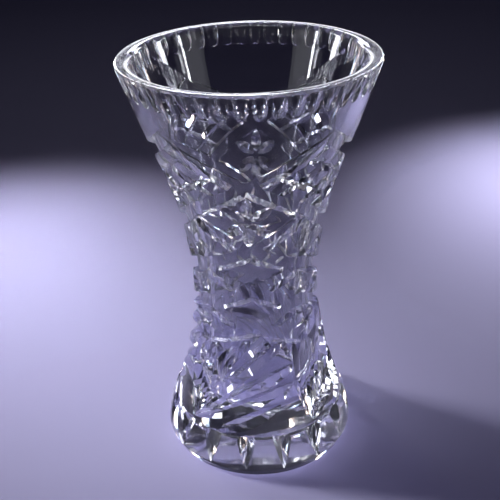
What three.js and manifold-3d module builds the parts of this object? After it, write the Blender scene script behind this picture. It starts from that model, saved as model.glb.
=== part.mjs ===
// A cut crystal vase: one thick waisted body of lead crystal with a ground pattern.
// Millimetres, +Z up. The foot rests on Z = 0 and the vase's axis is the Z axis.
// Angles are in degrees about that axis: 0 faces -Y and they grow towards +X.

import * as THREE from "three";
import { mergeVertices } from "three/addons/utils/BufferGeometryUtils.js";
import loadManifold from "manifold-3d";

// ---- Driving dimensions ----

const HEIGHT = 203;
const RIM_RADIUS = 59.2;
const WAIST_RADIUS = 31.2;
const WAIST_HEIGHT = 93;
const FOOT_RADIUS = 49.7;
const FOOT_EDGE_HEIGHT = 3.4;
const FOOT_EDGE_LEAN = 1.2;
const FOOT_RING_HEIGHT = 20;
const FOOT_RING_STEP = 1.1;
const FOOT_RING_FADE = 36;

// Flat sides that stand for the round of the body.
const SIDES = 40;

const RIM_WALL = 6.4;
const RIM_ROUNDING = 1.2;
const RIM_BEVEL = 0.5;
const LIP_WIDTH = 3.4;
const LIP_DROP = 2.4;
const WAIST_WALL = 8.2;
const HOLLOW_FLOOR_HEIGHT = 24;
const HOLLOW_FLOOR_RADIUS = 19;

// The pattern repeats four times around the vase. Each repeat has one column of crossings at its middle
// and one at its edge, half a repeat away.
const REPEATS = 4;
const REPEAT_ANGLE = 360 / REPEATS;
const HALF_REPEAT = REPEAT_ANGLE / 2;

// How far round from the front the columns stand.
const PATTERN_TURN = -4;

const FLUTE_COUNT = 48;
const FLUTE_TOP = HEIGHT + 0.6;
const FLUTE_BOTTOM = 192.5;
const FLUTE_DEPTH = 1.5;

// Two families of broad ribbons wind down the body and cross on the columns at these heights.
const RIBBON_CROSSINGS = [176.5, 157, 138.5, 120.5, 109, 98, 87.5, 78, 69.5];
const RIBBON_HALF_HEIGHT = 4.2;
const RIBBON_DEPTH = 2.6;
const RIBBON_BEVEL = 0.7;

const MITRE_SLOPE = 1.15;
const HATCH_DEPTH = 2.1;
const HATCH_LINES = 2;
const STAR_DEPTH = 2.8;
const STAR_HOLE = 0.1;
const SPLIT_DEPTH = 3.2;
const FAN_DEPTH = 3.7;
const FOOT_NOTCH_COUNT = 16;
const FOOT_NOTCH_TURN = 2.5;
const FOOT_NOTCH_DEPTH = 3.6;
const FOOT_NOTCH_SLOPE = 1.2;

// How far a cutter stands above the glass, so that it always breaks the surface.
const CLEARANCE = 1.5;

// ---- The uncut body ----

// Outer radius at a height. The stations are the places where the silhouette changes its curve.
const outerStations = [
  [FOOT_EDGE_HEIGHT, FOOT_RADIUS],
  [12, 48.2],
  [24, 44.4],
  [38, 39.8],
  [56, 35.0],
  [74, 32.2],
  [WAIST_HEIGHT, WAIST_RADIUS],
  [114, 33.0],
  [134, 36.6],
  [154, 42.6],
  [176, 50.4],
  [HEIGHT, RIM_RADIUS],
];

// Radius of the hollow at a height, from the floor's corner to the lip.
const hollowStations = [
  [HOLLOW_FLOOR_HEIGHT + 5, 26.5],
  [44, 28.4],
  [66, 25.4],
  [WAIST_HEIGHT, WAIST_RADIUS - WAIST_WALL],
  [120, 25.6],
  [150, 33.6],
  [178, 44.4],
  [HEIGHT, RIM_RADIUS - RIM_WALL],
];

function smoothCurve(stations) {
  const heights = stations.map((station) => station[0]);
  const radii = stations.map((station) => station[1]);
  const curve = new THREE.CubicInterpolant(heights, radii, 1);
  return (height) => curve.evaluate(height)[0];
}

const silhouetteRadius = smoothCurve(outerStations);
const hollowRadius = smoothCurve(hollowStations);

// Above the foot's ring the body steps in a little, and the step fades away up the body.
function bodyRadius(z) {
  const fade = THREE.MathUtils.clamp(1 - (z - FOOT_RING_HEIGHT) / FOOT_RING_FADE, 0, 1);
  return silhouetteRadius(z) - (z > FOOT_RING_HEIGHT ? FOOT_RING_STEP * fade : 0);
}

function heightsBetween(low, high, count) {
  return Array.from({ length: count + 1 }, (_, i) => low + ((high - low) * i) / count);
}

function arcPoints(centreRadius, centreHeight, radius, fromDegrees, toDegrees, count) {
  return heightsBetween(fromDegrees, toDegrees, count).map((degrees) => {
    const angle = THREE.MathUtils.degToRad(degrees);
    return new THREE.Vector2(centreRadius + radius * Math.cos(angle), centreHeight + radius * Math.sin(angle));
  });
}

function outerOutline() {
  const points = [new THREE.Vector2(0, 0), new THREE.Vector2(FOOT_RADIUS - FOOT_EDGE_LEAN, 0)];
  for (const z of heightsBetween(FOOT_EDGE_HEIGHT, FOOT_RING_HEIGHT, 2)) {
    points.push(new THREE.Vector2(bodyRadius(z), z));
  }
  for (const z of heightsBetween(FOOT_RING_HEIGHT + FOOT_RING_STEP, HEIGHT - RIM_ROUNDING, 10)) {
    points.push(new THREE.Vector2(bodyRadius(z), z));
  }
  return points;
}

function blankGeometry() {
  const roundCentre = HEIGHT - RIM_ROUNDING;
  const lipFoot = HEIGHT - LIP_DROP;
  const outerCorner = arcPoints(RIM_RADIUS - RIM_BEVEL - RIM_ROUNDING, roundCentre, RIM_ROUNDING, 30, 90, 2);
  const innerLip = heightsBetween(90, 45, 1).map((degrees) => {
    const lean = THREE.MathUtils.degToRad(degrees);
    const inward = hollowRadius(lipFoot) + LIP_WIDTH * (1 - Math.cos(lean));
    return new THREE.Vector2(inward, lipFoot + LIP_DROP * Math.sin(lean));
  });
  const wall = heightsBetween(hollowStations[0][0], lipFoot, 7)
    .reverse()
    .map((z) => new THREE.Vector2(hollowRadius(z), z));
  const floor = [
    new THREE.Vector2(HOLLOW_FLOOR_RADIUS, HOLLOW_FLOOR_HEIGHT),
    new THREE.Vector2(0, HOLLOW_FLOOR_HEIGHT),
  ];
  const corner = new THREE.Vector2(HOLLOW_FLOOR_RADIUS + 5, HOLLOW_FLOOR_HEIGHT + 1.6);
  const outline = [...outerOutline(), ...outerCorner, ...innerLip, ...wall, corner, ...floor];
  return new THREE.LatheGeometry(outline, SIDES).rotateX(Math.PI / 2);
}

// ---- Solids ----

const { Manifold, Mesh } = await startManifold();

async function startManifold() {
  const library = await loadManifold();
  library.setup();
  return library;
}

function toSolid(geometry) {
  const shell = geometry.clone();
  shell.deleteAttribute("normal");
  shell.deleteAttribute("uv");
  const welded = mergeVertices(shell, 1e-4);
  const corners = welded.index.array;
  const triangles = [];
  for (let i = 0; i < corners.length; i += 3) {
    const [a, b, c] = corners.slice(i, i + 3);
    if (a !== b && b !== c && c !== a) triangles.push(a, b, c);
  }
  return new Manifold(
    new Mesh({
      numProp: 3,
      vertProperties: new Float32Array(welded.attributes.position.array),
      triVerts: new Uint32Array(triangles),
    }),
  );
}

function toGeometry(solid) {
  const mesh = solid.getMesh();
  const geometry = new THREE.BufferGeometry();
  geometry.setAttribute("position", new THREE.BufferAttribute(mesh.vertProperties, 3));
  geometry.setIndex(new THREE.BufferAttribute(mesh.triVerts, 1));
  geometry.computeVertexNormals();
  return geometry;
}

// Joins a row of rings, each with the same number of points, into one closed cutter.
function loftRings(rings) {
  const size = rings[0].length;
  const index = [];
  for (let i = 0; i + 1 < rings.length; i++) {
    for (let j = 0; j < size; j++) {
      const a = i * size + j;
      const b = i * size + ((j + 1) % size);
      index.push(a, b, b + size, a, b + size, a + size);
    }
  }
  const last = (rings.length - 1) * size;
  for (let j = 1; j + 1 < size; j++) {
    index.push(0, j + 1, j, last, last + j, last + j + 1);
  }
  const geometry = new THREE.BufferGeometry().setFromPoints(rings.flat());
  geometry.setIndex(index);
  return toSolid(geometry);
}

// ---- Places on the body ----

function surfacePoint(degrees, z) {
  const angle = THREE.MathUtils.degToRad(degrees);
  const radius = bodyRadius(z);
  return new THREE.Vector3(radius * Math.sin(angle), -radius * Math.cos(angle), z);
}

function outwardNormal(degrees, z) {
  const angle = THREE.MathUtils.degToRad(degrees);
  const slope = silhouetteRadius(z + 0.5) - silhouetteRadius(z - 0.5);
  return new THREE.Vector3(Math.sin(angle), -Math.cos(angle), -slope).normalize();
}

// ---- Ribbons: broad flat-bottomed cuts with bevelled sides ----

// The ribbon's section, cut by the plane through the vase's axis.
function ribbonRing(degrees, z) {
  const normal = outwardNormal(degrees, z);
  const around = new THREE.Vector3(-normal.y, normal.x, 0).normalize();
  const up = new THREE.Vector3().crossVectors(normal, around);
  const corner = (along, out) =>
    surfacePoint(degrees, z)
      .addScaledVector(up, along)
      .addScaledVector(normal, out);
  const flare = (RIBBON_BEVEL * CLEARANCE) / RIBBON_DEPTH;
  return [
    corner(RIBBON_HALF_HEIGHT + flare, CLEARANCE),
    corner(-RIBBON_HALF_HEIGHT - flare, CLEARANCE),
    corner(RIBBON_BEVEL - RIBBON_HALF_HEIGHT, -RIBBON_DEPTH),
    corner(RIBBON_HALF_HEIGHT - RIBBON_BEVEL, -RIBBON_DEPTH),
  ];
}

function ribbon(startDegrees, direction) {
  const rings = [];
  const stepsPerCrossing = 2;
  const last = RIBBON_CROSSINGS.length - 1;
  for (let i = 0; i <= last * stepsPerCrossing; i++) {
    const place = i / stepsPerCrossing;
    const before = Math.min(Math.floor(place), last - 1);
    const z = THREE.MathUtils.lerp(RIBBON_CROSSINGS[before], RIBBON_CROSSINGS[before + 1], place - before);
    rings.push(ribbonRing(startDegrees + direction * place * HALF_REPEAT, z));
  }
  return loftRings(direction > 0 ? rings : rings.reverse());
}

// ---- Mitre cuts: V-shaped grooves that run out to nothing at both ends ----

// stops: [degrees, height] at the start, a bending place and the end.
function mitre(stops, depth, steps = 4) {
  const [start, bend, end] = stops.map(([degrees, z]) => new THREE.Vector2(degrees, z));
  const route = new THREE.QuadraticBezierCurve(start, bend, end);
  const rings = heightsBetween(0, 1, steps).map((t) => {
    const here = route.getPoint(t);
    const ahead = route.getPoint(Math.min(1, t + 0.01));
    const behind = route.getPoint(Math.max(0, t - 0.01));
    const along = surfacePoint(ahead.x, ahead.y).sub(surfacePoint(behind.x, behind.y)).normalize();
    const normal = outwardNormal(here.x, here.y);
    const across = new THREE.Vector3().crossVectors(normal, along).normalize();
    const depthHere = depth * Math.sin(Math.PI * t) ** 0.7 - 0.2;
    const halfWidth = (depthHere + CLEARANCE) * MITRE_SLOPE;
    const place = surfacePoint(here.x, here.y);
    return [
      place.clone().addScaledVector(across, halfWidth).addScaledVector(normal, CLEARANCE),
      place.clone().addScaledVector(across, -halfWidth).addScaledVector(normal, CLEARANCE),
      place.clone().addScaledVector(normal, -depthHere),
    ];
  });
  return loftRings(rings);
}

function straightMitre(start, end, depth, steps = 2) {
  const middle = [(start[0] + end[0]) / 2, (start[1] + end[1]) / 2];
  return mitre([start, middle, end], depth, steps);
}

// Crossed lines that fill the big diamond on a column at the edge of a repeat.
function hatch(column) {
  const [top, side, bottom] = RIBBON_CROSSINGS;
  const cuts = [];
  for (let i = 1; i <= HATCH_LINES; i++) {
    const share = i / (HATCH_LINES + 1);
    for (const hand of [-1, 1]) {
      const onUpperEdge = [column + hand * HALF_REPEAT * share, THREE.MathUtils.lerp(top, side, share)];
      const onLowerEdge = [column - hand * HALF_REPEAT * (1 - share), THREE.MathUtils.lerp(side, bottom, share)];
      cuts.push(straightMitre(onUpperEdge, onLowerEdge, HATCH_DEPTH));
    }
  }
  return cuts;
}

// A star of six leaf-shaped cuts in the diamond on a column at the middle of a repeat.
function star(column) {
  const centre = (RIBBON_CROSSINGS[1] + RIBBON_CROSSINGS[3]) / 2;
  const tips = [
    [0, 14],
    [16, 8],
    [16, -8],
    [0, -14],
    [-16, -8],
    [-16, 8],
  ];
  return tips.map(([degrees, rise]) => {
    const root = [column + STAR_HOLE * degrees, centre + STAR_HOLE * rise];
    return straightMitre(root, [column + degrees, centre + rise], STAR_DEPTH);
  });
}

// Upright cuts that split the smaller diamonds on a column.
function splits(column, crossings) {
  return crossings.map((i) => {
    const low = RIBBON_CROSSINGS[i + 2] + 1;
    const high = RIBBON_CROSSINGS[i] - 1;
    return straightMitre([column, low], [column, high], SPLIT_DEPTH);
  });
}

// A fan of long cuts that spreads up and to one side from the foot of a column.
function fan(column) {
  const foot = [column - 2, 22.5];
  const place = ([degrees, z]) => [foot[0] + degrees, z];
  const spread = [
    { bend: [-6, 46], end: [-7, 69] },
    { bend: [-1, 46], end: [4, 68] },
    { bend: [4, 44], end: [14, 66] },
    { bend: [11, 46], end: [25, 66] },
    { bend: [20, 50], end: [40, 68] },
    { bend: [31, 70], end: [80, 82] },
    { bend: [32, 60], end: [84, 71] },
    { bend: [46, 52], end: [92, 56] },
    { bend: [42, 40], end: [80, 47] },
  ];
  const cuts = spread.map(({ bend, end }) => mitre([foot, place(bend), place(end)], FAN_DEPTH));
  cuts.push(mitre([place([20, 21]), place([44, 29]), place([68, 37])], FAN_DEPTH));
  return cuts;
}

// ---- Rim flutes and foot notches ----

// A short upright flute with a rounded lower end.
function flute(degrees) {
  const halfAngle = (180 / FLUTE_COUNT) * 0.86;
  const slices = [-1, 0, 1];
  const rings = [0, 0.3, 1].map((rise) => {
    const z = THREE.MathUtils.lerp(FLUTE_BOTTOM - 1, FLUTE_TOP, rise);
    const width = rise === 0 ? 0.3 : 1;
    const depth = rise === 0 ? -0.1 : FLUTE_DEPTH * (1 - 0.4 * rise);
    const bowl = slices.map((side) => {
      const at = degrees + side * halfAngle * width;
      const sink = depth * (1 - side * side);
      return surfacePoint(at, z).addScaledVector(outwardNormal(at, z), -sink + 0.1);
    });
    const lid = [1, -1].map((side) => {
      const at = degrees + side * halfAngle * width;
      return surfacePoint(at, z).addScaledVector(outwardNormal(degrees, z), CLEARANCE);
    });
    return [...bowl, ...lid];
  });
  return loftRings(rings.reverse());
}

// A notch that is sharp at the foot's edge and opens towards the ring above it.
function footNotch(degrees) {
  const across = new THREE.Vector3(
    Math.cos(THREE.MathUtils.degToRad(degrees)),
    Math.sin(THREE.MathUtils.degToRad(degrees)),
    0,
  );
  const rings = [
    { z: FOOT_EDGE_HEIGHT, depth: -0.1 },
    { z: FOOT_RING_HEIGHT - 3, depth: FOOT_NOTCH_DEPTH },
    { z: FOOT_RING_HEIGHT + 1, depth: FOOT_NOTCH_DEPTH },
  ].map(({ z, depth }) => {
    const normal = outwardNormal(degrees, z);
    const place = surfacePoint(degrees, z);
    const halfWidth = (depth + CLEARANCE) * FOOT_NOTCH_SLOPE;
    return [
      place.clone().addScaledVector(across, halfWidth).addScaledVector(normal, CLEARANCE),
      place.clone().addScaledVector(normal, -depth),
      place.clone().addScaledVector(across, -halfWidth).addScaledVector(normal, CLEARANCE),
    ];
  });
  return loftRings(rings);
}

function aroundAxis(count, startDegrees, makeCut) {
  return Array.from({ length: count }, (_, i) => makeCut(startDegrees + (i * 360) / count));
}

// ---- The vase ----

function crystalVase() {
  const front = PATTERN_TURN;
  const between = PATTERN_TURN + HALF_REPEAT;
  const cuts = [
    ...aroundAxis(FLUTE_COUNT, 180 / FLUTE_COUNT, flute),
    ...aroundAxis(REPEATS, between, (degrees) => ribbon(degrees, 1)),
    ...aroundAxis(REPEATS, between, (degrees) => ribbon(degrees, -1)),
    ...aroundAxis(REPEATS, between, hatch).flat(),
    ...aroundAxis(REPEATS, front, star).flat(),
    ...aroundAxis(REPEATS, between, (degrees) => splits(degrees, [2, 4, 6])).flat(),
    ...aroundAxis(REPEATS, between, fan).flat(),
    ...aroundAxis(FOOT_NOTCH_COUNT, FOOT_NOTCH_TURN + 180 / FOOT_NOTCH_COUNT, footNotch),
  ];
  const body = toSolid(blankGeometry()).subtract(Manifold.union(cuts));
  const crystal = new THREE.MeshStandardMaterial({ color: 0xe6e9f2, roughness: 0.03, metalness: 0 });
  const vase = new THREE.Mesh(toGeometry(body.simplify(0.02)), crystal);
  vase.name = "crystal_vase";
  return vase;
}

const model = new THREE.Group();
model.add(crystalVase());

export default model;
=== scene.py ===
# A cut crystal vase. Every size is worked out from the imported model's box, and Blender's unit is the metre.

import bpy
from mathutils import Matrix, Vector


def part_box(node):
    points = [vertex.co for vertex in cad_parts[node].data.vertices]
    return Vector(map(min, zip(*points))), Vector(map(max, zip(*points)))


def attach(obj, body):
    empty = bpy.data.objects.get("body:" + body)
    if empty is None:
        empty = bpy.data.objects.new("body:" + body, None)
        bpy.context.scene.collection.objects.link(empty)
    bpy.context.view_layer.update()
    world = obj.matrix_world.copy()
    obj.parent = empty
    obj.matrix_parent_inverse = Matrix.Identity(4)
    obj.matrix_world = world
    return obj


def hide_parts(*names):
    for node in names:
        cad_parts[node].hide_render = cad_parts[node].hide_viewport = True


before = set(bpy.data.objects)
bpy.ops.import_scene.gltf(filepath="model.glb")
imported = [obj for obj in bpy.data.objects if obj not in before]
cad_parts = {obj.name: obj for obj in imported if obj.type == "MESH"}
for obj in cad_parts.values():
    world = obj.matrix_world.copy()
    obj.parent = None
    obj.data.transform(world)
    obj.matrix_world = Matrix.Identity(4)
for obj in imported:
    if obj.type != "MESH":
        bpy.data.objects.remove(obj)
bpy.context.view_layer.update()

import math

import bmesh
import bpy
import numpy as np
from mathutils import Matrix, Vector

NODE = "crystal_vase"
FOOT_CORNER, LIP_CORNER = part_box(NODE)
HEIGHT = LIP_CORNER.z - FOOT_CORNER.z

# ---- The design's own sizes, in millimetres, and its angles, in degrees ----

TOP = 203
MM = HEIGHT / TOP

RIM_RADIUS = 59.2
WAIST_RADIUS = 31.2
WAIST_HEIGHT = 93
FOOT_RADIUS = 49.7
FOOT_EDGE_HEIGHT = 3.4
FOOT_EDGE_LEAN = 1.2
FOOT_RING_HEIGHT = 20
FOOT_RING_STEP = 1.1
FOOT_RING_FADE = 36
FOOT_RING_ROUNDING = 0.5

RIM_WALL = 6.4
RIM_ROUNDING = 1.2
RIM_BEVEL = 0.5
LIP_WIDTH = 3.4
LIP_DROP = 2.4
WAIST_WALL = 8.2
HOLLOW_FLOOR_HEIGHT = 24
HOLLOW_FLOOR_RADIUS = 19
HOLLOW_CORNER_HEIGHT = 5

REPEATS = 4
HALF_REPEAT = 45
PATTERN_TURN = -4
FLUTE_COUNT = 48
FLUTE_TOP = TOP + 0.6
FLUTE_BOTTOM = 192.5
FLUTE_RUN_IN = 1
FLUTE_DEPTH = 1.5
FLUTE_SHALLOWING = 0.4

# How much of its share of the round a flute takes, how narrow its lower end starts, and how many times
# the length of its rounded end goes into the flute.
FLUTE_FILL = 0.86
FLUTE_END_NARROWING = 0.92
FLUTE_END_PARTS = 2.6

RIBBON_CROSSINGS = [176.5, 157, 138.5, 120.5, 109, 98, 87.5, 78, 69.5]
RIBBON_HALF_HEIGHT = 4.2
RIBBON_DEPTH = 2.6
RIBBON_BEVEL = 0.7

# Half a mitre's width for each millimetre of its depth, how full its depth curve is, and how far its two
# ends stand off the glass.
MITRE_SLOPE = 1.15
MITRE_FULLNESS = 0.7
MITRE_END_RISE = 0.2
HATCH_DEPTH = 2.1
HATCH_LINES = 2
STAR_DEPTH = 2.8
STAR_HOLE = 0.1
STAR_TIPS = [(0, 14), (16, 8), (16, -8), (0, -14), (-16, -8), (-16, 8)]
SPLIT_DEPTH = 3.2
SPLIT_INSET = 1
SPLIT_CROSSINGS = [2, 4, 6]
FAN_DEPTH = 3.7
FOOT_NOTCH_COUNT = 16
FOOT_NOTCH_TURN = 2.5
FOOT_NOTCH_DEPTH = 3.6
FOOT_NOTCH_SLOPE = 1.2
FOOT_NOTCH_FULL_HEIGHT = FOOT_RING_HEIGHT - 3
FOOT_NOTCH_END_HEIGHT = FOOT_RING_HEIGHT + 1

# How far a cutter stands above the glass, and the small gap that keeps its ends and edges off the surface.
CLEARANCE = 1.5
HAIR = 0.1

OUTER_STATIONS = [
    (FOOT_EDGE_HEIGHT, FOOT_RADIUS),
    (12, 48.2),
    (24, 44.4),
    (38, 39.8),
    (56, 35.0),
    (74, 32.2),
    (WAIST_HEIGHT, WAIST_RADIUS),
    (114, 33.0),
    (134, 36.6),
    (154, 42.6),
    (176, 50.4),
    (TOP, RIM_RADIUS),
]
HOLLOW_STATIONS = [
    (HOLLOW_FLOOR_HEIGHT + HOLLOW_CORNER_HEIGHT, 26.5),
    (44, 28.4),
    (66, 25.4),
    (WAIST_HEIGHT, WAIST_RADIUS - WAIST_WALL),
    (120, 25.6),
    (150, 33.6),
    (178, 44.4),
    (TOP, RIM_RADIUS - RIM_WALL),
]

# How finely the glass is meshed.
SIDES = 192
FOOT_ROWS = 8
BODY_ROWS = 64
HOLLOW_ROWS = 40
HOLLOW_CORNER_STEPS = 7
ARC_STEPS = 5
LIP_STEPS = 8
RIBBON_STEPS = 2
MITRE_STEPS = 14
FLUTE_SECTION_STEPS = 8
FLUTE_RISES = (0, 0.06, 0.15, 0.3, 0.5, 0.75, 1)

# How far either side of a place on a route, as a share of it, its direction is measured.
NUDGE = 0.01

# How far a ribbon runs past its end column, in half repeats, so that it overlaps the one that meets it there.
RIBBON_LAP = 0.004

# Corners closer than this are joined into one after the cuts.
SLIVER = 0.002

# Faces that meet at more than this stay a sharp edge.
SHARPEST_SMOOTH_ANGLE = 16


# ---- The uncut body ----

def smooth_curve(stations):
    """A function through the stations, whose slope at each is the mean of its neighbours' slopes."""
    heights = np.array([h for h, _ in stations], float)
    radii = np.array([r for _, r in stations], float)
    slopes = np.diff(radii) / np.diff(heights)
    tangents = np.concatenate([[slopes[0]], (slopes[1:] + slopes[:-1]) / 2, [slopes[-1]]])

    def at(height):
        h = np.clip(height, heights[0], heights[-1])
        i = np.clip(np.searchsorted(heights, h, "right") - 1, 0, len(heights) - 2)
        span = heights[i + 1] - heights[i]
        t = (h - heights[i]) / span
        start = (1 + 2 * t) * (1 - t) ** 2 * radii[i] + t * (1 - t) ** 2 * span * tangents[i]
        end = t ** 2 * (3 - 2 * t) * radii[i + 1] + t ** 2 * (t - 1) * span * tangents[i + 1]
        return start + end

    return at


silhouette_radius = smooth_curve(OUTER_STATIONS)
hollow_radius = smooth_curve(HOLLOW_STATIONS)


def body_radius(z):
    """The uncut outer radius. Above the foot's ring it steps in a little, and the step fades away."""
    fade = np.clip(1 - (z - FOOT_RING_HEIGHT) / FOOT_RING_FADE, 0, 1)
    return silhouette_radius(z) - np.where(z > FOOT_RING_HEIGHT, FOOT_RING_STEP * fade, 0)


def arc(centre_radius, centre_height, radius, start, stop):
    angles = np.radians(np.linspace(start, stop, ARC_STEPS + 1))
    return [(centre_radius + radius * math.cos(a), centre_height + radius * math.sin(a)) for a in angles]


def blank_outline():
    """(radius, height) from the middle of the underside, up the outside, over the lip and down the hollow."""
    points = [(0, 0), (FOOT_RADIUS - FOOT_EDGE_LEAN, 0)]
    rounding = FOOT_RING_ROUNDING
    foot = np.linspace(FOOT_EDGE_HEIGHT, FOOT_RING_HEIGHT - rounding, FOOT_ROWS)
    points += [(float(body_radius(z)), z) for z in foot]
    ring_radius = float(body_radius(FOOT_RING_HEIGHT))
    points += arc(ring_radius - rounding, FOOT_RING_HEIGHT - rounding, rounding, 10, 90)
    body = np.linspace(FOOT_RING_HEIGHT + FOOT_RING_STEP, TOP - RIM_ROUNDING, BODY_ROWS)
    points += [(float(body_radius(z)), z) for z in body]
    points += arc(RIM_RADIUS - RIM_BEVEL - RIM_ROUNDING, TOP - RIM_ROUNDING, RIM_ROUNDING, 30, 90)
    lip_foot = TOP - LIP_DROP
    lip_radius = float(hollow_radius(lip_foot))
    for lean in np.radians(np.linspace(90, 0, LIP_STEPS + 1)):
        points.append((lip_radius + LIP_WIDTH * (1 - math.cos(lean)), lip_foot + LIP_DROP * math.sin(lean)))
    corner_top = HOLLOW_FLOOR_HEIGHT + HOLLOW_CORNER_HEIGHT
    wall = np.linspace(lip_foot, corner_top, HOLLOW_ROWS)[1:]
    points += [(float(hollow_radius(z)), z) for z in wall]
    corner_radius = hollow_radius(corner_top) - HOLLOW_FLOOR_RADIUS
    for t in np.linspace(0, 1, HOLLOW_CORNER_STEPS + 1)[1:]:
        lean = math.radians(90 * t)
        points.append((HOLLOW_FLOOR_RADIUS + corner_radius * math.cos(lean),
                       corner_top - HOLLOW_CORNER_HEIGHT * math.sin(lean)))
    points.append((0, HOLLOW_FLOOR_HEIGHT))
    return points


def mesh_object(name, points, faces):
    """A mesh from points in the design's millimetres."""
    mesh = bpy.data.meshes.new(name)
    mesh.from_pydata([tuple(float(c) * MM for c in p) for p in points], [], faces)
    mesh.validate()
    mesh.update()
    piece = bpy.data.objects.new(name, mesh)
    bpy.context.scene.collection.objects.link(piece)
    return piece


def lathe(name, outline):
    """Turns an outline of (radius, height) that starts and ends on the axis into a closed mesh."""
    ring_outline = outline[1:-1]
    points = [(0, 0, outline[0][1])]
    for radius, z in ring_outline:
        for i in range(SIDES):
            angle = 2 * math.pi * i / SIDES
            points.append((radius * math.cos(angle), radius * math.sin(angle), z))
    points.append((0, 0, outline[-1][1]))
    top = len(points) - 1
    faces = []
    for i in range(SIDES):
        j = (i + 1) % SIDES
        faces.append((0, 1 + j, 1 + i))
        for k in range(len(ring_outline) - 1):
            a = 1 + k * SIDES
            faces.append((a + i, a + j, a + SIDES + j, a + SIDES + i))
        last = 1 + (len(ring_outline) - 1) * SIDES
        faces.append((top, last + i, last + j))
    return mesh_object(name, points, faces)


# ---- Places on the body ----

def surface_point(degrees, z):
    angle = math.radians(degrees)
    radius = float(body_radius(z))
    return np.array([radius * math.sin(angle), -radius * math.cos(angle), z])


def outward_normal(degrees, z):
    """Square to the outline, whose slope is measured over one millimetre."""
    angle = math.radians(degrees)
    slope = float(silhouette_radius(z + 0.5) - silhouette_radius(z - 0.5))
    normal = np.array([math.sin(angle), -math.cos(angle), -slope])
    return normal / np.linalg.norm(normal)


# ---- Cutters: rows of rings, each row lofted into one closed cutter ----

def ribbon_ring(degrees, z):
    """A ribbon's section, cut by the plane through the vase's axis."""
    normal = outward_normal(degrees, z)
    sideways = np.array([-normal[1], normal[0], 0])
    up = np.cross(normal, sideways / np.linalg.norm(sideways))
    place = surface_point(degrees, z)
    flare = RIBBON_BEVEL * CLEARANCE / RIBBON_DEPTH
    corners = [
        (RIBBON_HALF_HEIGHT + flare, CLEARANCE),
        (-RIBBON_HALF_HEIGHT - flare, CLEARANCE),
        (RIBBON_BEVEL - RIBBON_HALF_HEIGHT, -RIBBON_DEPTH),
        (RIBBON_HALF_HEIGHT - RIBBON_BEVEL, -RIBBON_DEPTH),
    ]
    return [place + along * up + out * normal for along, out in corners]


def ribbon(start, direction):
    places = np.linspace(0, len(RIBBON_CROSSINGS) - 1, (len(RIBBON_CROSSINGS) - 1) * RIBBON_STEPS + 1)
    heights = np.interp(places, range(len(RIBBON_CROSSINGS)), RIBBON_CROSSINGS)
    places[0] -= RIBBON_LAP
    places[-1] += RIBBON_LAP
    return [ribbon_ring(start + direction * place * HALF_REPEAT, z) for place, z in zip(places, heights)]


def mitre(start, bend, end, depth):
    """A V-shaped groove along a curve of (degrees, height), running out to nothing at both ends."""
    start, bend, end = (np.array(p, float) for p in (start, bend, end))

    def route(t):
        return (1 - t) ** 2 * start + 2 * t * (1 - t) * bend + t ** 2 * end

    rings = []
    for t in np.linspace(0, 1, MITRE_STEPS + 1):
        degrees, z = route(t)
        ahead = surface_point(*route(min(1, t + NUDGE)))
        along = ahead - surface_point(*route(max(0, t - NUDGE)))
        normal = outward_normal(degrees, z)
        across = np.cross(normal, along)
        across = across / np.linalg.norm(across)
        depth_here = depth * math.sin(math.pi * t) ** MITRE_FULLNESS - MITRE_END_RISE
        half_width = (depth_here + CLEARANCE) * MITRE_SLOPE
        place = surface_point(degrees, z)
        rings.append([
            place + half_width * across + CLEARANCE * normal,
            place - half_width * across + CLEARANCE * normal,
            place - depth_here * normal,
        ])
    return rings


def straight_mitre(start, end, depth):
    middle = [(start[0] + end[0]) / 2, (start[1] + end[1]) / 2]
    return mitre(start, middle, end, depth)


def hatch_line(column, hand, number):
    top, side, bottom = RIBBON_CROSSINGS[:3]
    share = number / (HATCH_LINES + 1)
    upper = (column + hand * HALF_REPEAT * share, top + (side - top) * share)
    lower = (column - hand * HALF_REPEAT * (1 - share), side + (bottom - side) * share)
    return straight_mitre(upper, lower, HATCH_DEPTH)


def star_petal(column, degrees, rise):
    """One leaf-shaped cut of the six that make a star, from near its centre to one of its tips."""
    centre = (RIBBON_CROSSINGS[1] + RIBBON_CROSSINGS[3]) / 2
    root = (column + STAR_HOLE * degrees, centre + STAR_HOLE * rise)
    return straight_mitre(root, (column + degrees, centre + rise), STAR_DEPTH)


def split(column, crossing):
    """An upright cut between a crossing of the ribbons and the next one below it on the same column."""
    low = RIBBON_CROSSINGS[crossing + 2] + SPLIT_INSET
    high = RIBBON_CROSSINGS[crossing] - SPLIT_INSET
    return straight_mitre((column, low), (column, high), SPLIT_DEPTH)


# The start, bend and end of each ray of a fan, as (degrees, height). Degrees count from the fan's column,
# turned by FAN_TURN.
FAN_TURN = -2
FAN_ROOT = (0, 22.5)
FAN_RAYS = [
    (FAN_ROOT, (-6, 46), (-7, 69)),
    (FAN_ROOT, (-1, 46), (4, 68)),
    (FAN_ROOT, (4, 44), (14, 66)),
    (FAN_ROOT, (11, 46), (25, 66)),
    (FAN_ROOT, (20, 50), (40, 68)),
    (FAN_ROOT, (31, 70), (80, 82)),
    (FAN_ROOT, (32, 60), (84, 71)),
    (FAN_ROOT, (46, 52), (92, 56)),
    (FAN_ROOT, (42, 40), (80, 47)),
    ((20, 21), (44, 29), (68, 37)),
]


def fan_ray(column, ray):
    return mitre(*[(column + FAN_TURN + degrees, z) for degrees, z in ray], FAN_DEPTH)


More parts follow.
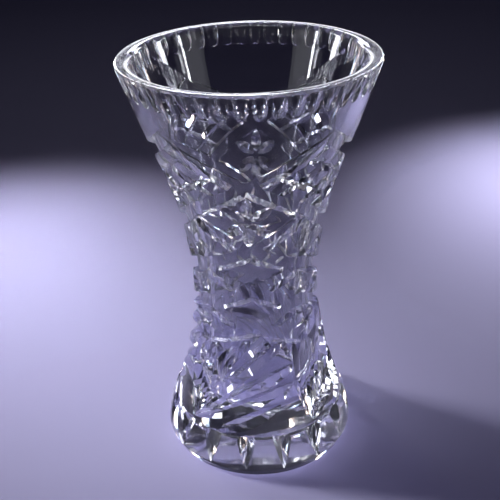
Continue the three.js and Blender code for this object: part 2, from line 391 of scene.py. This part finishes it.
def flute(degrees):
    """A short upright flute with a rounded lower end. It gets shallower towards the rim."""
    half_angle = 180 / FLUTE_COUNT * FLUTE_FILL
    start = FLUTE_BOTTOM - FLUTE_RUN_IN
    rings = []
    for rise in FLUTE_RISES:
        z = start + rise * (FLUTE_TOP - start)
        opened = min(1, rise * FLUTE_END_PARTS)
        half_width = half_angle * math.sqrt(1 - (1 - opened) ** 2 * FLUTE_END_NARROWING)
        depth = FLUTE_DEPTH * math.sqrt(opened) * (1 - FLUTE_SHALLOWING * rise) if rise else -HAIR
        ring = []
        for side in np.linspace(-1, 1, FLUTE_SECTION_STEPS + 1):
            at = degrees + side * half_width
            sink = depth * (1 - side * side) - HAIR
            ring.append(surface_point(at, z) - sink * outward_normal(at, z))
        for side in (1, -1):
            at = degrees + side * half_width
            ring.append(surface_point(at, z) + CLEARANCE * outward_normal(degrees, z))
        rings.append(ring)
    return rings


def foot_notch(degrees):
    """A notch that is sharp at the foot's edge and opens towards the ring above it."""
    across = np.array([math.cos(math.radians(degrees)), math.sin(math.radians(degrees)), 0])
    stops = (
        (FOOT_EDGE_HEIGHT, -HAIR),
        (FOOT_NOTCH_FULL_HEIGHT, FOOT_NOTCH_DEPTH),
        (FOOT_NOTCH_END_HEIGHT, FOOT_NOTCH_DEPTH),
    )
    rings = []
    for z, depth in stops:
        normal = outward_normal(degrees, z)
        place = surface_point(degrees, z)
        half_width = (depth + CLEARANCE) * FOOT_NOTCH_SLOPE
        rings.append([
            place + half_width * across + CLEARANCE * normal,
            place - depth * normal,
            place - half_width * across + CLEARANCE * normal,
        ])
    return rings


def loft(name, rows, finish):
    """One object holding a closed solid for each row of rings, which leaves its finish on what it cuts."""
    points = []
    faces = []
    for rings in rows:
        first = len(points)
        size = len(rings[0])
        points += [p for ring in rings for p in ring]
        last = first + (len(rings) - 1) * size
        for i in range(len(rings) - 1):
            for j in range(size):
                a = first + i * size + j
                b = first + i * size + (j + 1) % size
                faces.append((a, b, b + size, a + size))
        faces.append(tuple(range(first + size - 1, first - 1, -1)))
        faces.append(tuple(range(last, last + size)))
    cutter = mesh_object(name, points, faces)
    turn_outward(cutter.data)
    dress(cutter.data)
    cutter.data.polygons.foreach_set("material_index", [finish] * len(cutter.data.polygons))
    return cutter


def turn_outward(mesh):
    work = bmesh.new()
    work.from_mesh(mesh)
    bmesh.ops.triangulate(work, faces=work.faces[:])
    bmesh.ops.recalc_face_normals(work, faces=work.faces[:])
    work.to_mesh(mesh)
    work.free()


def dress(mesh):
    """Gives a mesh every finish, in the order of FINISHES, so that a cut's finish survives the cutting."""
    for material in FINISHES:
        mesh.materials.append(material)


def around(count, start, make_cut):
    return [make_cut(start + i * 360 / count) for i in range(count)]


def cut_families():
    """Each family's finish and cuts. The cuts in a family stand apart, so that a family is cut in one go."""
    front = PATTERN_TURN
    between = PATTERN_TURN + HALF_REPEAT
    yield POLISHED, around(FLUTE_COUNT, 180 / FLUTE_COUNT, flute)
    for direction in (1, -1):
        yield SATIN, around(REPEATS, between, lambda column: ribbon(column, direction))
    for number in range(1, HATCH_LINES + 1):
        for hand in (1, -1):
            yield POLISHED, around(REPEATS, between, lambda column: hatch_line(column, hand, number))
    for degrees, rise in STAR_TIPS:
        yield POLISHED, around(REPEATS, front, lambda column: star_petal(column, degrees, rise))
    for crossing in SPLIT_CROSSINGS:
        yield POLISHED, around(REPEATS, between, lambda column: split(column, crossing))
    for ray in FAN_RAYS:
        yield POLISHED, around(REPEATS, between, lambda column: fan_ray(column, ray))
    yield POLISHED, around(FOOT_NOTCH_COUNT, FOOT_NOTCH_TURN + 180 / FOOT_NOTCH_COUNT, foot_notch)


def cut(body, cutter):
    step = body.modifiers.new("cut", "BOOLEAN")
    step.operation = "DIFFERENCE"
    step.solver = "MANIFOLD"
    step.object = cutter
    bpy.context.view_layer.update()
    graph = bpy.context.evaluated_depsgraph_get()
    result = bpy.data.meshes.new_from_object(body.evaluated_get(graph))
    body.modifiers.remove(step)
    old = body.data
    body.data = result
    bpy.data.meshes.remove(old)
    bpy.data.objects.remove(cutter)


def clean(mesh):
    """Closes up the slivers that the cuts leave."""
    work = bmesh.new()
    work.from_mesh(mesh)
    bmesh.ops.remove_doubles(work, verts=work.verts[:], dist=SLIVER * MM)
    bmesh.ops.dissolve_degenerate(work, edges=work.edges[:], dist=SLIVER * MM)
    work.to_mesh(mesh)
    work.free()


def build_vase():
    body = lathe("vase_crystal", blank_outline())
    dress(body.data)
    for finish, family in cut_families():
        cut(body, loft("cutter", family, finish))
    mesh = body.data
    clean(mesh)
    mesh.shade_smooth()
    mesh.set_sharp_from_angle(angle=math.radians(SHARPEST_SMOOTH_ANGLE))
    return body


# ---- Glass ----

GLASS_TINT = (0.64, 0.64, 0.70, 1)
GLASS_IOR = 1.55
SHADOW_TINT = (0.45, 0.45, 0.52, 1)
RIBBON_ROUGHNESS = 0.06

# How far below the rim the scratches start, and how far below it they are at their thickest.
LIP_ROUGHNESS = 0.22
LIP_WEAR_DROPS = (2.6, 0.6)
SPECKLE_SCALE = 900
SPECKLE_DETAIL = 4
SPECKLE_NOISE = (0.35, 0.7)
SPECKLE_STRENGTH = (0.25, 1)

# The sole is worn up to the first height, and the wear is gone at the second.
SOLE_ROUGHNESS = 0.05
SOLE_WEAR_HEIGHTS = (0.1, 0.6)

SMUDGE_ROUGHNESS = 0.006
SMUDGE_SCALE = 60
SMUDGE_DETAIL = 3
SMUDGE_NOISE = (0.4, 0.75)
RIPPLE_HEIGHT = 0.004
RIPPLE_SCALE = 220
RIPPLE_DETAIL = 2


def noise_texture(nodes, links, place, scale, detail):
    noise = nodes.new("ShaderNodeTexNoise")
    noise.inputs["Scale"].default_value = scale
    noise.inputs["Detail"].default_value = detail
    links.new(place, noise.inputs["Vector"])
    return noise.outputs["Fac"]


def mapped(nodes, links, value, start, stop, low, high):
    ramp = nodes.new("ShaderNodeMapRange")
    for socket, number in (("From Min", start), ("From Max", stop), ("To Min", low), ("To Max", high)):
        ramp.inputs[socket].default_value = number
    links.new(value, ramp.inputs["Value"])
    return ramp.outputs["Result"]


def multiply_add(nodes, links, first, second, third):
    """first * second + third. A number may stand for the second."""
    sum_node = nodes.new("ShaderNodeMath")
    sum_node.operation = "MULTIPLY_ADD"
    links.new(first, sum_node.inputs[0])
    if isinstance(second, (int, float)):
        sum_node.inputs[1].default_value = second
    else:
        links.new(second, sum_node.inputs[1])
    links.new(third, sum_node.inputs[2])
    return sum_node.outputs["Value"]


def crystal_material(name, roughness):
    """Hand-polished lead crystal: faint ripples all over, finely scratched on the lip and under the foot."""
    material = bpy.data.materials.new(name)
    material.use_nodes = True
    nodes = material.node_tree.nodes
    links = material.node_tree.links
    shader = nodes["Principled BSDF"]
    shader.inputs["Base Color"].default_value = GLASS_TINT
    shader.inputs["IOR"].default_value = GLASS_IOR
    shader.inputs["Transmission Weight"].default_value = 1.0

    place = nodes.new("ShaderNodeTexCoord").outputs["Object"]
    split_axes = nodes.new("ShaderNodeSeparateXYZ")
    links.new(place, split_axes.inputs["Vector"])
    height = split_axes.outputs["Z"]
    wear_start, wear_full = [(TOP - drop) * MM for drop in LIP_WEAR_DROPS]
    lip = mapped(nodes, links, height, wear_start, wear_full, 0, LIP_ROUGHNESS)
    sole_full, sole_end = [rise * MM for rise in SOLE_WEAR_HEIGHTS]
    sole = mapped(nodes, links, height, sole_full, sole_end, SOLE_ROUGHNESS, 0)
    smudge_noise = noise_texture(nodes, links, place, SMUDGE_SCALE, SMUDGE_DETAIL)
    smudge = mapped(nodes, links, smudge_noise, *SMUDGE_NOISE, roughness, roughness + SMUDGE_ROUGHNESS)
    speckle_noise = noise_texture(nodes, links, place, SPECKLE_SCALE, SPECKLE_DETAIL)
    speckle = mapped(nodes, links, speckle_noise, *SPECKLE_NOISE, *SPECKLE_STRENGTH)
    worn = multiply_add(nodes, links, lip, speckle, smudge)
    links.new(multiply_add(nodes, links, sole, 1.0, worn), shader.inputs["Roughness"])

    ripple = nodes.new("ShaderNodeBump")
    ripple.inputs["Strength"].default_value = 1.0
    ripple.inputs["Distance"].default_value = RIPPLE_HEIGHT * MM
    ripple_noise = noise_texture(nodes, links, place, RIPPLE_SCALE, RIPPLE_DETAIL)
    links.new(ripple_noise, ripple.inputs["Height"])
    links.new(ripple.outputs["Normal"], shader.inputs["Normal"])

    passing = nodes.new("ShaderNodeBsdfTransparent")
    passing.inputs["Color"].default_value = SHADOW_TINT
    rays = nodes.new("ShaderNodeLightPath")
    mix = nodes.new("ShaderNodeMixShader")
    links.new(rays.outputs["Is Shadow Ray"], mix.inputs["Fac"])
    links.new(shader.outputs["BSDF"], mix.inputs[1])
    links.new(passing.outputs["BSDF"], mix.inputs[2])
    links.new(mix.outputs["Shader"], nodes["Material Output"].inputs["Surface"])
    return material


# A finish is known by its place in FINISHES.
POLISHED = 0
SATIN = 1
FINISHES = [
    crystal_material("crystal_polished", 0.0),
    crystal_material("crystal_satin", RIBBON_ROUGHNESS),
]

vase = build_vase()
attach(vase, "root")
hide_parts(NODE)


# ---- Floor, lights, camera ----

# Places and sizes are in metres, apart from the gap under the vase, which is in the design's millimetres.
FLOOR_HALF_SIDE = 1.2
FLOOR_GAP = 0.3
FLOOR_COLOUR = (0.40, 0.372, 0.56, 1)
FLOOR_ROUGHNESS = 0.9
WORLD_COLOUR = (0.006, 0.006, 0.012, 1)

LAMP_COLOUR = (0.92, 0.94, 1)
GLINT_COLOUR = (0.94, 0.96, 1)
GLINT_AIM_HEIGHT = 0.18

# Strips of three colours side by side, which leave orange and blue edges on the glints, as cut crystal does.
SPECTRUM = (("warm", (1, 0.80, 0.62)), ("white", (1, 1, 1)), ("cool", (0.62, 0.78, 1)))
SPECTRUM_DISTANCE = 0.56
SPECTRUM_HEIGHT = 0.28
SPECTRUM_STRIP = (0.02, 0.36)
SPECTRUM_STEP = 2
SPECTRUM_RADIANCE = 36
SPECTRUM_SIDES = (("left", -30), ("right", 33))

# The eye's distance and height in vase heights, its turns in radians, and its lens in millimetres.
EYE_DISTANCE = 1.7076
EYE_HEIGHT = 1.4785
EYE_PITCH = 0.5149
EYE_ROLL = -0.0337
EYE_YAW = 0.0064
SENSOR_WIDTH = 36
FOCAL_LENGTH = 57.6


def make_floor():
    """A square, a fraction of a millimetre below the vase."""
    half = FLOOR_HALF_SIDE / MM
    corners = [(-half, -half), (half, -half), (half, half), (-half, half)]
    floor = mesh_object("floor", [(x, y, -FLOOR_GAP) for x, y in corners], [(0, 1, 2, 3)])
    material = bpy.data.materials.new("floor_paint")
    material.use_nodes = True
    shader = material.node_tree.nodes["Principled BSDF"]
    shader.inputs["Base Color"].default_value = FLOOR_COLOUR
    shader.inputs["Roughness"].default_value = FLOOR_ROUGHNESS
    shader.inputs["Specular IOR Level"].default_value = 0.0
    floor.data.materials.append(material)


def area_light(name, place, size, radiance, aim, spread=180, colour=LAMP_COLOUR):
    """A rectangle of even brightness, placed and sized in metres, that the camera doesn't see itself."""
    data = bpy.data.lights.new(name, "AREA")
    data.shape = "RECTANGLE"
    data.size, data.size_y = size
    data.energy = radiance * math.pi * size[0] * size[1]
    data.color = colour
    data.spread = math.radians(spread)
    lamp = bpy.data.objects.new(name, data)
    bpy.context.scene.collection.objects.link(lamp)
    lamp.location = place
    lamp.rotation_euler = (Vector(aim) - Vector(place)).to_track_quat("-Z", "Y").to_euler()
    lamp.visible_camera = False
    return lamp


def glint_light(name, place, size, radiance, inside=True, colour=GLINT_COLOUR):
    """A light for the glass alone. With inside False, it shows only as a reflection."""
    lamp = area_light(name, place, size, radiance, (0, 0, GLINT_AIM_HEIGHT), colour=colour)
    lamp.visible_diffuse = False
    lamp.visible_transmission = inside


def light_floor():
    """A key light that throws the vase's shadow forward and to the right, a pool behind it on each side,
    and a weak even light over the whole floor."""
    key = area_light("key", (-0.48, 0.19, 0.37), (0.10, 0.10), 11, (0.10, -0.10, 0), 52)
    fill = area_light("fill", (-0.10, 0.35, 0.90), (0.40, 0.40), 0.8, (0, 0.2, 0))
    for lamp in (key, fill):
        lamp.visible_glossy = False
        lamp.visible_transmission = False
    area_light("pool_left", (-0.36, 0.42, 0.42), (0.08, 0.08), 16, (-0.17, 0.17, 0), 42)
    area_light("pool_right", (0.42, 0.56, 0.42), (0.08, 0.08), 17, (0.25, 0.26, 0), 37)


def light_glass():
    glint_light("panel_left", (-0.50, -0.20, 0.28), (0.30, 0.34), 0.7)
    glint_light("panel_right", (0.50, -0.20, 0.28), (0.30, 0.34), 0.6)
    glint_light("strip_left", (-0.45, 0.12, 0.26), (0.05, 0.42), 24)
    glint_light("strip_right", (0.45, 0.12, 0.26), (0.05, 0.42), 18)
    glint_light("strip_front_left", (-0.52, -0.12, 0.20), (0.025, 0.30), 30)
    glint_light("strip_front_right", (0.52, -0.12, 0.20), (0.025, 0.30), 26)
    glint_light("strip_high", (-0.06, 0.62, 0.46), (0.16, 0.02), 26)
    glint_light("strip_above_back", (0.0, 0.62, 0.52), (0.60, 0.05), 18, inside=False)
    glint_light("strip_above_front", (0.0, -0.28, 0.75), (0.60, 0.03), 40, inside=False)
    glint_light("panel_back", (-0.10, 0.90, 0.34), (1.10, 0.16), 4, inside=False)
    for side, middle in SPECTRUM_SIDES:
        for step, (tone, colour) in enumerate(SPECTRUM):
            turn = math.radians(middle - SPECTRUM_STEP * (step - 1))
            across, back = SPECTRUM_DISTANCE * math.sin(turn), SPECTRUM_DISTANCE * math.cos(turn)
            place = (across, back, SPECTRUM_HEIGHT)
            glint_light("strip_%s_%s" % (side, tone), place, SPECTRUM_STRIP, SPECTRUM_RADIANCE, colour=colour)


def make_world():
    world = bpy.data.worlds.new("studio")
    world.use_nodes = True
    world.node_tree.nodes["Background"].inputs["Color"].default_value = WORLD_COLOUR
    bpy.context.scene.world = world


def make_camera():
    right = Vector((math.cos(EYE_YAW), math.sin(EYE_YAW), 0))
    level = Vector((-math.sin(EYE_YAW), math.cos(EYE_YAW), 0))
    up_axis = Vector((0, 0, 1))
    forward = level * math.cos(EYE_PITCH) - up_axis * math.sin(EYE_PITCH)
    up = level * math.sin(EYE_PITCH) + up_axis * math.cos(EYE_PITCH)
    rolled_right = right * math.cos(EYE_ROLL) + up * math.sin(EYE_ROLL)
    rolled_up = up * math.cos(EYE_ROLL) - right * math.sin(EYE_ROLL)
    turn = Matrix((rolled_right, rolled_up, -forward)).transposed().to_4x4()
    data = bpy.data.cameras.new("camera")
    data.sensor_width = SENSOR_WIDTH
    data.lens = FOCAL_LENGTH
    data.clip_start = 0.01
    camera = bpy.data.objects.new("camera", data)
    bpy.context.scene.collection.objects.link(camera)
    camera.matrix_world = Matrix.Translation((0, -EYE_DISTANCE * HEIGHT, EYE_HEIGHT * HEIGHT)) @ turn
    bpy.context.scene.camera = camera


make_floor()
make_world()
make_camera()
light_floor()
light_glass()

scene = bpy.context.scene
scene.cycles.max_bounces = 24
scene.cycles.transmission_bounces = 24
scene.cycles.glossy_bounces = 12
scene.cycles.transparent_max_bounces = 16
scene.view_settings.view_transform = "Standard"
